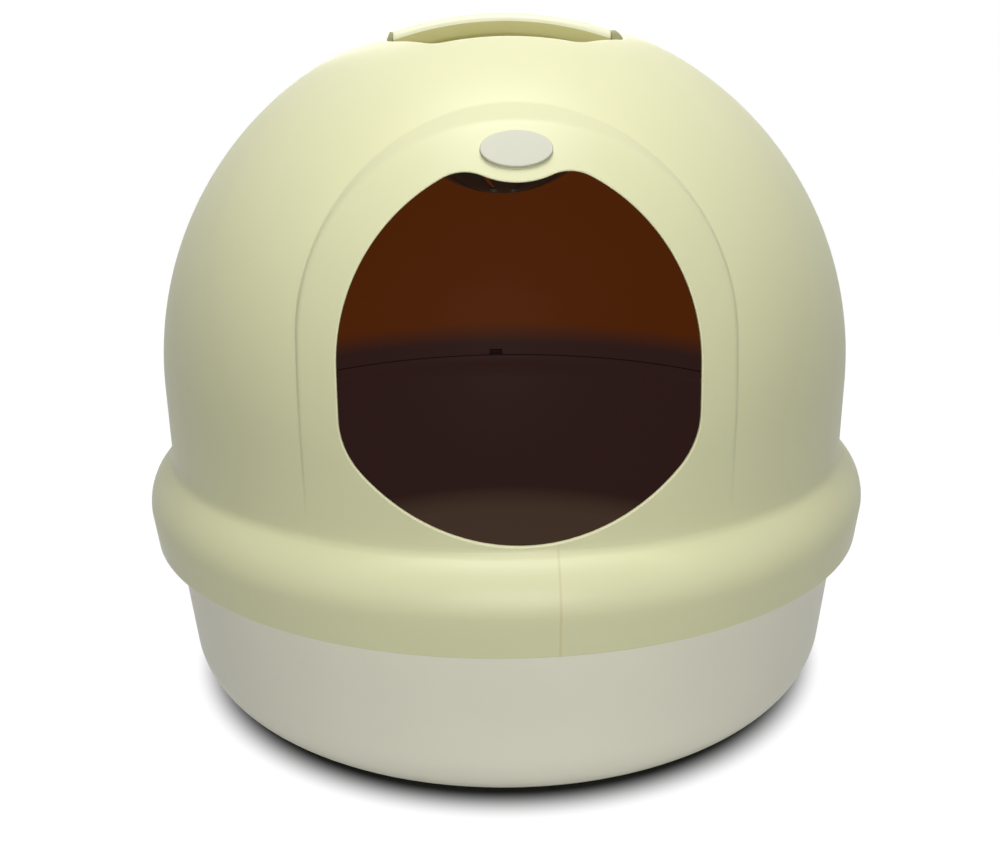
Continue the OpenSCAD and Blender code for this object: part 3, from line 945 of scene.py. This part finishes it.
def build_badge(context, material):
    """The bare oval plate: rings from its rim inwards, square to the front panel."""
    h, f, b = values(context, "hood", "facade", "badge")
    around = np.radians(np.arange(0, 360, 3))
    face, base = b["thick"] - b["sunk"], -b["sunk"]
    r = b["edge_r"]
    rows = chain(
        line((-1, base), (0, base), 1),
        line((0, base), (0, face - r), 2),
        rounded((0, face - r), (0, face), (-r, face)),
        line((-r, face), (-r - 0.6, face), 1),
    )
    grow, z = rows[:, 0, None], rows[:, 1, None] + 0 * around
    oval = [(b["half_w"] + grow) * np.cos(around), (b["half_h"] + grow) * np.sin(around), z]
    rings = np.stack(oval, axis=-1)
    start = [rings[0] * [s, s, 1] for s in (0, 0.5)]
    end = [rings[-1] * [s, s, 1] for s in (0.7, 0.245, 0)]
    flat = np.concatenate([start, rings, end])
    tilt = math.asin((b["middle_z"] - h["dome_z"]) / f["curve_r"])
    away = h["dome_r"] + f["proud"] - f["curve_r"] + f["curve_r"] * math.cos(tilt)
    up = np.array([0, math.sin(tilt), math.cos(tilt)])
    out = np.array([0, -math.cos(tilt), math.sin(tilt)])
    points = flat[..., :1] * [1, 0, 0] + flat[..., 1:2] * up + flat[..., 2:] * out
    points = points + [0, -away, b["middle_z"]]
    shell = Shell()
    shell.grid(points)
    return shell.build("badge_plate", [material])


def build_pad(context, material):
    """The carbon pad: a round disc with soft, drawn-in edges, taken from its solid's box."""
    low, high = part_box("carbon_filter")
    radius, bottom, top = high.x / MM, low.z / MM, high.z / MM
    soft, side = 3.0, radius - 0.6
    belt_low, belt_high = bottom + soft * 1.6, top - soft * 1.6
    outline = chain(
        line((0, bottom), (radius - soft, bottom), 8),
        rounded((radius - soft, bottom), (radius, bottom), (side, belt_low)),
        line((side, belt_low), (side, belt_high), 3),
        rounded((side, belt_high), (radius, top), (radius - soft, top)),
        line((radius - soft, top), (0, top), 8),
    )
    turns = np.radians(np.arange(0, 360, 3.0))
    shell = Shell()
    shell.grid(revolve(outline, turns))
    return shell.build("carbon_pad", [material])


# Materials

class Nodes:
    """The node tree of a material or a world, with short calls to add, fill in and join nodes."""

    def __init__(self, owner):
        owner.use_nodes = True
        self.owner, self.tree = owner, owner.node_tree
        self.shader = self.tree.nodes.get("Principled BSDF")

    def fill(self, node, **values):
        """Sets a node's sockets and properties by name; an output is joined to its socket."""
        for key, value in values.items():
            socket = node.inputs.get(key.replace("_", " "))
            if socket is None:
                setattr(node, key, value)
            elif isinstance(value, bpy.types.NodeSocket):
                self.tree.links.new(value, socket)
            else:
                socket.default_value = value
        return node

    def add(self, kind, **values):
        """Adds a node and fills it in."""
        return self.fill(self.tree.nodes.new("ShaderNode" + kind), **values)

    def ramp(self, source, stops):
        """A colour ramp over a value, from stops of position and colour."""
        node = self.add("ValToRGB", Fac=source)
        elements = node.color_ramp.elements
        while len(elements) < len(stops):
            elements.new(0.5)
        for element, (place, tint) in zip(elements, stops):
            element.position = place
            element.color = (*tint, 1)
        return node.outputs["Color"]

    def place(self):
        """The point's coordinates on the object, in metres."""
        return self.add("TexCoord").outputs["Object"]

    def axes(self):
        """The same coordinates one by one."""
        return self.add("SeparateXYZ", Vector=self.place()).outputs

    def noise(self, scale, detail=3.0):
        """Noise on the object's own coordinates."""
        return self.add("TexNoise", Scale=scale, Detail=detail, Vector=self.place()).outputs["Fac"]

    def remap(self, source, start=(0, 1), end=(0, 1), kind="LINEAR"):
        """A value carried from one range to another."""
        node = self.add("MapRange", interpolation_type=kind, Value=source)
        self.fill(node, From_Min=start[0], From_Max=start[1], To_Min=end[0], To_Max=end[1])
        return node.outputs["Result"]

    def combine(self, operation, *terms):
        """A value worked out from values and numbers by one kind of arithmetic."""
        total = terms[0]
        for term in terms[1:]:
            node = self.add("Math", operation=operation)
            self.tree.links.new(total, node.inputs[0])
            if isinstance(term, bpy.types.NodeSocket):
                self.tree.links.new(term, node.inputs[1])
            else:
                node.inputs[1].default_value = term
            total = node.outputs["Value"]
        return total

    def multiply(self, first, second, amount=1.0):
        """One colour times another, as far as the amount says."""
        node = self.add("Mix", data_type="RGBA", blend_type="MULTIPLY", Factor=amount)
        return self.fill(node, A=first, B=second).outputs["Result"]

    def flow_mark(self, side, top):
        """A thin upright line on the front at a sideways place in metres, below a height."""
        axes = self.axes()
        gap = self.combine("ABSOLUTE", self.combine("SUBTRACT", axes["X"], side), 0.0)
        across = self.remap(gap, (0.0002, 0.0012), (1, 0))
        below = self.remap(axes["Z"], (top - 0.006, top), (1, 0))
        in_front = self.remap(axes["Y"], (-0.1, -0.05), (1, 0))
        return self.combine("MULTIPLY", across, below, in_front)

    def bump(self, source, strength, distance):
        """Small relief of the surface from a value."""
        relief = self.add("Bump", Strength=strength, Distance=distance, Height=source)
        self.fill(self.shader, Normal=relief.outputs["Normal"])

    def show(self, seen, lit, output):
        """Gives rays that show the background one shader, and those that light the object another."""
        path = self.add("LightPath").outputs
        direct = self.combine(
            "MAXIMUM", path["Is Camera Ray"], path["Is Glossy Ray"], path["Is Transmission Ray"]
        )
        mix = self.add("MixShader", Fac=direct)
        self.tree.links.new(lit, mix.inputs[1])
        self.tree.links.new(seen, mix.inputs[2])
        self.fill(self.tree.nodes[output], Surface=mix.outputs["Shader"])


def shade(tint, factor):
    """A colour made darker or lighter."""
    return tuple(min(channel * factor, 1) for channel in tint)


def moulded(name, tint, roughness, gloss_level=0.4, mark=None):
    """Moulded plastic: faint cloudy colour, slightly uneven gloss and a fine satin grain.

    A mark, given by its sideways place and its top in metres, leaves a faint upright line.
    """
    nodes = Nodes(bpy.data.materials.new(name))
    cloud = nodes.ramp(nodes.noise(5.0, 4.0), [(0.3, shade(tint, 0.965)), (0.7, shade(tint, 1.02))])
    if mark:
        cloud = nodes.multiply(cloud, MARK_TINT, nodes.flow_mark(*mark))
    nodes.fill(
        nodes.shader,
        Base_Color=cloud,
        Roughness=nodes.remap(nodes.noise(14.0), end=(roughness - 0.04, roughness + 0.05)),
        Specular_IOR_Level=gloss_level,
    )
    nodes.bump(nodes.noise(900.0, 2.0), 0.06, 0.0002)
    return nodes.owner


def painted_shade_glow(name, stops, depth=0.3, roughness=0.5, gloss_level=0.05):
    """Painted shade for an inside: the plastic's colour drawn dark where shade falls, with a painted
    glow, an emission that stands in for the light passing the moulded wall.

    Its colour follows the height in metres through the stops, each a height and a colour.
    """
    nodes = Nodes(bpy.data.materials.new(name))
    low, high = stops[0][0], stops[-1][0]
    level = nodes.remap(nodes.axes()["Z"], (low, high))
    tint = nodes.ramp(level, [((z - low) / (high - low), shown) for z, shown in stops])
    greys = [(0.3, (depth * 0.85,) * 3), (0.7, (depth * 1.1,) * 3)]
    nodes.fill(
        nodes.shader,
        Base_Color=nodes.multiply(tint, nodes.ramp(nodes.noise(9.0, 4.0), greys)),
        Emission_Color=tint,
        Emission_Strength=PAINTED_GLOW,
        Roughness=nodes.remap(nodes.noise(9.0), end=(roughness - 0.05, roughness + 0.06)),
        Specular_IOR_Level=gloss_level,
    )
    nodes.bump(nodes.noise(700.0, 2.0), 0.08, 0.0002)
    return nodes.owner


def fibre(name, tint):
    """Black carbon fibre pad: dull, with tangled fine relief."""
    nodes = Nodes(bpy.data.materials.new(name))
    tangle = nodes.noise(420.0, 8.0)
    nodes.fill(
        nodes.shader,
        Base_Color=nodes.ramp(tangle, [(0.35, shade(tint, 0.5)), (0.7, shade(tint, 2.2))]),
        Roughness=0.95,
    )
    nodes.bump(tangle, 0.7, 0.0012)
    return nodes.owner


# Stage

def facing(place, back, roll=0.0):
    """The matrix of an object at a place whose own Z axis points back, rolled about it."""
    side = np.cross([0, 0, 1], back)
    side = side / np.linalg.norm(side)
    turned = side * math.cos(roll) + np.cross(back, side) * math.sin(roll)
    matrix = np.eye(4)
    matrix[:3] = np.stack([turned, np.cross(back, turned), back, place], axis=1)
    return Matrix(matrix.tolist())


def add_lamp(name, power):
    """One of the soft square lamps, turned to face the object."""
    size, place = LAMPS[name]
    data = bpy.data.lights.new(name + "_lamp", "AREA")
    data.energy = power
    data.shape = "SQUARE"
    data.size = size
    lamp = add_object(name + "_lamp", data)
    lamp.visible_camera = False
    back = np.subtract(place, LAMP_AIM)
    lamp.matrix_world = facing(place, back / np.linalg.norm(back))


def add_camera(s):
    """The camera at the photographed angle: a distance back from a point on the axis."""
    azimuth, elevation = s["azimuth"], s["elevation"]
    level = math.cos(elevation)
    back = np.array([math.sin(azimuth) * level, -math.cos(azimuth) * level, math.sin(elevation)])
    data = bpy.data.cameras.new("camera")
    data.lens = s["lens"]
    data.sensor_width = 36
    data.sensor_fit = "HORIZONTAL"
    data.shift_x = s["shift_x"]
    data.clip_end = 50
    camera = add_object("camera", data)
    place = np.array([0, 0, s["aim_z"]]) * MM + back * s["distance"] * MM
    camera.matrix_world = facing(place, back, s["roll"])
    bpy.context.scene.camera = camera


def light_world(strength):
    """A white surround for what is seen, and a dimmer even light for what it lights."""
    nodes = Nodes(bpy.data.worlds.new("surround"))
    lit = nodes.fill(nodes.tree.nodes["Background"], Color=(0.98, 1.0, 0.99, 1), Strength=strength)
    seen = nodes.add("Background", Color=WHITE)
    nodes.show(seen.outputs["Background"], lit.outputs["Background"], "World Output")
    bpy.context.scene.world = nodes.owner


def add_floor():
    """The plain pale floor: seen white, keeping the object's real shadow, with a painted shadow where
    its white glow fades out near the object.
    """
    mesh = bpy.data.meshes.new("floor")
    corners = [(x * FLOOR_HALF, y * FLOOR_HALF, 0) for x, y in ((-1, -1), (1, -1), (1, 1), (-1, 1))]
    mesh.from_pydata(corners, [], [(0, 1, 2, 3)])
    nodes = Nodes(bpy.data.materials.new("pale_floor"))
    nodes.fill(nodes.shader, Base_Color=(0.44, 0.45, 0.44, 1), Roughness=0.9, Specular_IOR_Level=0.1)
    away = nodes.add("VectorMath", operation="LENGTH", Vector=nodes.place()).outputs["Value"]
    # Painted shadow: the white glow is dimmed towards the object between the radii of the fade.
    glow = nodes.add("Emission", Strength=nodes.remap(away, PAINTED_SHADOW_FADE, kind="SMOOTHSTEP"))
    dim = nodes.add("BsdfDiffuse", Color=(0.035, 0.036, 0.033, 1))
    both = nodes.add("AddShader")
    nodes.tree.links.new(dim.outputs["BSDF"], both.inputs[0])
    nodes.tree.links.new(glow.outputs["Emission"], both.inputs[1])
    nodes.show(both.outputs["Shader"], nodes.shader.outputs["BSDF"], "Material Output")
    mesh.materials.append(nodes.owner)
    floor = add_object("floor", mesh)


# Operators

class LITTERBOX_OT_stage(bpy.types.Operator):
    """Add the camera, the lamps, the surround and the floor"""

    bl_idname = "litterbox.stage"
    bl_label = "Stage"

    def execute(self, context):
        s = values(context, "stage")
        add_camera(s)
        light_world(s["ambient"])
        for name in LAMPS:
            add_lamp(name, s[name + "_power"])
        add_floor()
        context.scene.view_settings.view_transform = "Standard"
        return {"FINISHED"}


class LITTERBOX_OT_hood(bpy.types.Operator):
    """Add the domed hood with its front panel, entry and handle well"""

    bl_idname = "litterbox.hood"
    bl_label = "Hood"

    def execute(self, context):
        tints = values(context, "finish")
        skin = moulded("pearl_champagne", tints["hood"], 0.4, gloss_level=0.28, mark=(0.0205, 0.19))
        # The inside: painted shade with a painted glow, purple-brown low down and orange-brown from 222
        # mm up.
        painted_inside = painted_shade_glow("dome_inside_painted_shade_glow", [(0.2, tints["pan_inside"]), (0.222, tints["hood_inside"])])
        hood = build_hood(context, [skin, painted_inside])
        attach(hood, "hood")
        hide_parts("dome_hood")
        return {"FINISHED"}


class LITTERBOX_OT_pan(bpy.types.Operator):
    """Add the round pan"""

    bl_idname = "litterbox.pan"
    bl_label = "Pan"

    def execute(self, context):
        tints = values(context, "finish")
        skin = moulded("warm_grey_plastic", tints["pan"], 0.42, gloss_level=0.3)
        lip = values(context, "pan")["lip_z"] * MM
        # The inside: painted shade with a painted glow, the floor lighter as a painted pool of light,
        # and a darker band at the top of the lip as a painted shadow.
        painted_inside = painted_shade_glow("pan_tub_inside_painted_shade_glow", [
            (0.0, tints["pan_floor"]),
            (0.012, tints["pan_floor"]),
            (0.035, tints["pan_inside"]),
            (lip - 0.0009, tints["pan_inside"]),
            (lip - 0.0003, shade(tints["pan_inside"], 0.25)),
        ])
        pan = build_pan(context, [skin, painted_inside])
        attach(pan, "pan")
        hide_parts("litter_pan")
        return {"FINISHED"}


class LITTERBOX_OT_handle(bpy.types.Operator):
    """Add the carry handle across the well"""

    bl_idname = "litterbox.handle"
    bl_label = "Carry handle"

    def execute(self, context):
        tints = values(context, "finish")
        # Lit and shaded copies of one plastic: a paler painted highlight on top and a darker painted
        # shade on the sides and underside.
        crest = moulded("handle_top_painted_highlight", tints["crest"], 0.36, gloss_level=0.35)
        grip = moulded("handle_sides_painted_shade", tints["grip"], 0.5, gloss_level=0.25)
        handle = build_handle(context, [crest, grip])
        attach(handle, "hood")
        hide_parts("carry_handle")
        return {"FINISHED"}


class LITTERBOX_OT_badge(bpy.types.Operator):
    """Add the bare oval plate over the entry"""

    bl_idname = "litterbox.badge"
    bl_label = "Badge"

    def execute(self, context):
        tints = values(context, "finish")
        badge = build_badge(context, moulded("badge_plastic", tints["badge"], 0.45))
        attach(badge, "hood")
        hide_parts("oval_badge")
        return {"FINISHED"}


class LITTERBOX_OT_filter(bpy.types.Operator):
    """Add the carbon pad and finish the slotted basket"""

    bl_idname = "litterbox.filter"
    bl_label = "Filter"

    def execute(self, context):
        tints = values(context, "finish")
        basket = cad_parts["filter_basket"]
        basket.data.materials.clear()
        # The basket keeps its own charcoal colour, with the painted glow of the insides added.
        stops = [(0.3, tints["basket"]), (0.5, tints["basket"])]
        charcoal = painted_shade_glow("charcoal_plastic_painted_glow", stops, depth=1.0, roughness=0.3, gloss_level=0.5)
        basket.data.materials.append(charcoal)
        pad = build_pad(context, fibre("carbon_fibre", tints["carbon"]))
        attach(pad, "filter")
        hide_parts("carbon_filter")
        return {"FINISHED"}


class LITTERBOX_PT_panel(bpy.types.Panel):
    """Lists the pieces and their sizes"""

    bl_idname = "LITTERBOX_PT_panel"
    bl_label = "Hooded litter box"
    bl_space_type = "VIEW_3D"
    bl_region_type = "UI"
    bl_category = "Litter box"

    def draw(self, context):
        for operator in OPERATORS:
            self.layout.operator(operator.bl_idname)
        for name, group in GROUPS.items():
            box = self.layout.box()
            box.label(text=name.capitalize())
            store = getattr(context.scene, "litter_box_" + name)
            for key in group.__annotations__:
                box.prop(store, key)


OPERATORS = (
    LITTERBOX_OT_stage,
    LITTERBOX_OT_hood,
    LITTERBOX_OT_pan,
    LITTERBOX_OT_handle,
    LITTERBOX_OT_badge,
    LITTERBOX_OT_filter,
)


def register():
    """Registers the sizes, the operators and the panel."""
    for name, group in GROUPS.items():
        bpy.utils.register_class(group)
        setattr(bpy.types.Scene, "litter_box_" + name, bpy.props.PointerProperty(type=group))
    for operator in OPERATORS:
        bpy.utils.register_class(operator)
    bpy.utils.register_class(LITTERBOX_PT_panel)


def unregister():
    """Takes them out again, in reverse."""
    bpy.utils.unregister_class(LITTERBOX_PT_panel)
    for operator in reversed(OPERATORS):
        bpy.utils.unregister_class(operator)
    for name, group in reversed(GROUPS.items()):
        delattr(bpy.types.Scene, "litter_box_" + name)
        bpy.utils.unregister_class(group)


def main():
    """Builds the whole object."""
    register()
    for name in ("stage", "hood", "pan", "handle", "badge", "filter"):
        getattr(bpy.ops.litterbox, name)()


if __name__ == "__main__":
    main()
